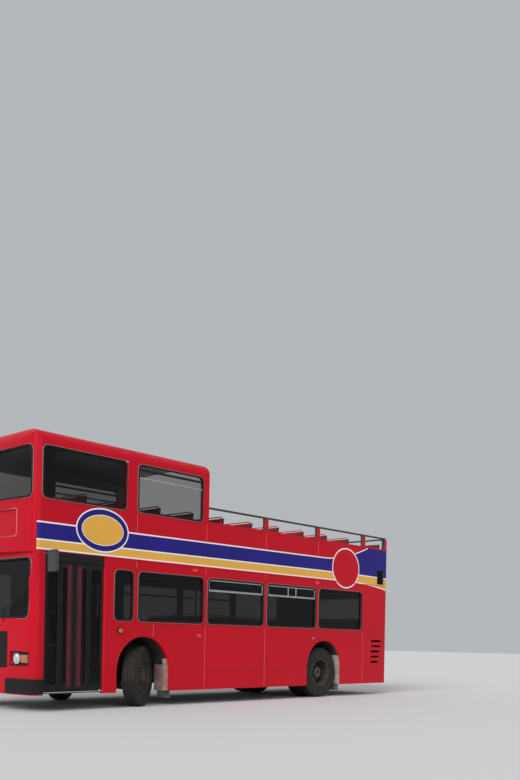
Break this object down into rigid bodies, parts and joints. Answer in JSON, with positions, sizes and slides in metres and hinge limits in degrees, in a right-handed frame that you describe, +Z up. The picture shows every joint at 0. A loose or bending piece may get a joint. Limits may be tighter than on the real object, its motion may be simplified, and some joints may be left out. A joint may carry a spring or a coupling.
{
  "type": "open top double decker bus",
  "caption": "Red open top double decker bus with a short front roof, folding entrance doors, steered front wheels, twin rear wheels and a lifting engine cover.",
  "frame": {"origin": "on the road, at the middle of the body's length and width", "axes": "+X forward, +Y to the bus's left (the entrance side), +Z up"},
  "size_m": [9.5659, 3.4, 4.4],
  "materials": {
    "red_paint": "gloss",
    "frame_paint": "satin",
    "axle_iron": "matt",
    "floor_ply": "matt",
    "inner_panel": "satin",
    "glazing": "clear",
    "seat_plastic": "satin",
    "black_plastic": "satin",
    "rubber_black": "matt",
    "tyre_rubber": "matt",
    "rim_paint": "satin",
    "rail_yellow": "gloss",
    "engine_iron": "matt",
    "lamp_clear": "clear",
    "lamp_red": "gloss"
  },
  "bodies": {
    "body": {"chassis_rails": "frame_paint", "cross_members": "frame_paint", "entrance_steps": "floor_ply", "engine_bay": "inner_panel", "front_axle": "axle_iron", "rear_axle": "axle_iron", "engine": "engine_iron", "fuel_tank": "frame_paint", "floor_lower": "floor_ply", "floor_upper": "floor_ply", "wheel_boxes": "inner_panel", "staircase": "inner_panel", "side_lower_left": "red_paint", "side_lower_right": "red_paint", "side_upper_left": "red_paint", "side_upper_right": "red_paint", "front_lower": "red_paint", "front_upper": "red_paint", "rear_lower": "red_paint", "rear_upper": "red_paint", "roof": "red_paint", "glass_lower_deck": "glazing", "glass_upper_deck": "glazing", "seats_lower": "seat_plastic", "seats_upper": "seat_plastic", "driver_seat": "black_plastic", "dashboard": "black_plastic", "steering_wheel": "black_plastic", "cab_partition": "inner_panel", "grille": "black_plastic", "headlamps": "lamp_clear", "tail_lamps": "lamp_red", "bumpers": "black_plastic", "mudflaps": "rubber_black", "mirrors": "black_plastic", "handrails": "rail_yellow", "top_rail": "red_paint", "air_intakes": "black_plastic"},
    "knuckle_left": {"knuckle_left": "axle_iron"},
    "knuckle_right": {"knuckle_right": "axle_iron"},
    "tie_rod": {"tie_rod": "axle_iron"},
    "wheel_front_left": {"tyre_front_left": "tyre_rubber", "rim_front_left": "rim_paint"},
    "wheel_front_right": {"tyre_front_right": "tyre_rubber", "rim_front_right": "rim_paint"},
    "wheel_rear_left": {"tyre_rear_left": "tyre_rubber", "rim_rear_left": "rim_paint"},
    "wheel_rear_right": {"tyre_rear_right": "tyre_rubber", "rim_rear_right": "rim_paint"},
    "door_front_outer": {"door_front_outer": "red_paint"},
    "door_front_inner": {"door_front_inner": "red_paint"},
    "door_rear_outer": {"door_rear_outer": "red_paint"},
    "door_rear_inner": {"door_rear_inner": "red_paint"},
    "engine_cover": {"engine_cover": "red_paint"}
  },
  "joints": [
    {"name": "steer_left", "type": "hinge", "parent": "body", "child": "knuckle_left", "pos_m": [2.543, 0.89, 0.525], "axis": [0, 0, 1], "range_deg": [-68, 6]},
    {"name": "steer_right", "type": "hinge", "parent": "body", "child": "knuckle_right", "pos_m": [2.543, -0.89, 0.525], "axis": [0, 0, 1], "range_deg": [-68, 6]},
    {"name": "tie_rod_swing", "type": "hinge", "parent": "knuckle_left", "child": "tie_rod", "pos_m": [2.34795, 0.76812, 0.344], "axis": [0, 0, 1], "range_deg": [-6, 68]},
    {"name": "spin_front_left", "type": "hinge", "parent": "knuckle_left", "child": "wheel_front_left", "pos_m": [2.46351, 1.01721, 0.525], "axis": [-0.5299, 0.848, 0], "continuous": true},
    {"name": "spin_front_right", "type": "hinge", "parent": "knuckle_right", "child": "wheel_front_right", "pos_m": [2.62249, -1.01721, 0.525], "axis": [-0.5299, 0.848, 0], "continuous": true},
    {"name": "spin_rear_left", "type": "hinge", "parent": "body", "child": "wheel_rear_left", "pos_m": [-2.41, 0.88, 0.525], "axis": [0, 1, 0], "continuous": true},
    {"name": "spin_rear_right", "type": "hinge", "parent": "body", "child": "wheel_rear_right", "pos_m": [-2.41, -0.88, 0.525], "axis": [0, 1, 0], "continuous": true},
    {"name": "door_front_swing", "type": "hinge", "parent": "body", "child": "door_front_outer", "pos_m": [4.493, 1.219, 1.335], "axis": [0, 0, 1], "range_deg": [0, 85]},
    {"name": "door_front_fold", "type": "hinge", "parent": "door_front_outer", "child": "door_front_inner", "pos_m": [4.22875, 1.242, 1.335], "axis": [0, 0, 1], "range_deg": [-170, 0]},
    {"name": "door_rear_swing", "type": "hinge", "parent": "body", "child": "door_rear_outer", "pos_m": [3.422, 1.219, 1.335], "axis": [0, 0, 1], "range_deg": [-85, 0]},
    {"name": "door_rear_fold", "type": "hinge", "parent": "door_rear_outer", "child": "door_rear_inner", "pos_m": [3.68625, 1.242, 1.335], "axis": [0, 0, 1], "range_deg": [0, 170]},
    {"name": "engine_cover_lift", "type": "hinge", "parent": "body", "child": "engine_cover", "pos_m": [-4.785, 0, 1.356], "axis": [0, 1, 0], "range_deg": [0, 75]}
  ],
  "couplings": [
    {"joint": "steer_right", "follows": "steer_left", "ratio": 1},
    {"joint": "tie_rod_swing", "follows": "steer_left", "ratio": -1},
    {"joint": "door_front_fold", "follows": "door_front_swing", "ratio": -2},
    {"joint": "door_rear_fold", "follows": "door_rear_swing", "ratio": -2}
  ]
}
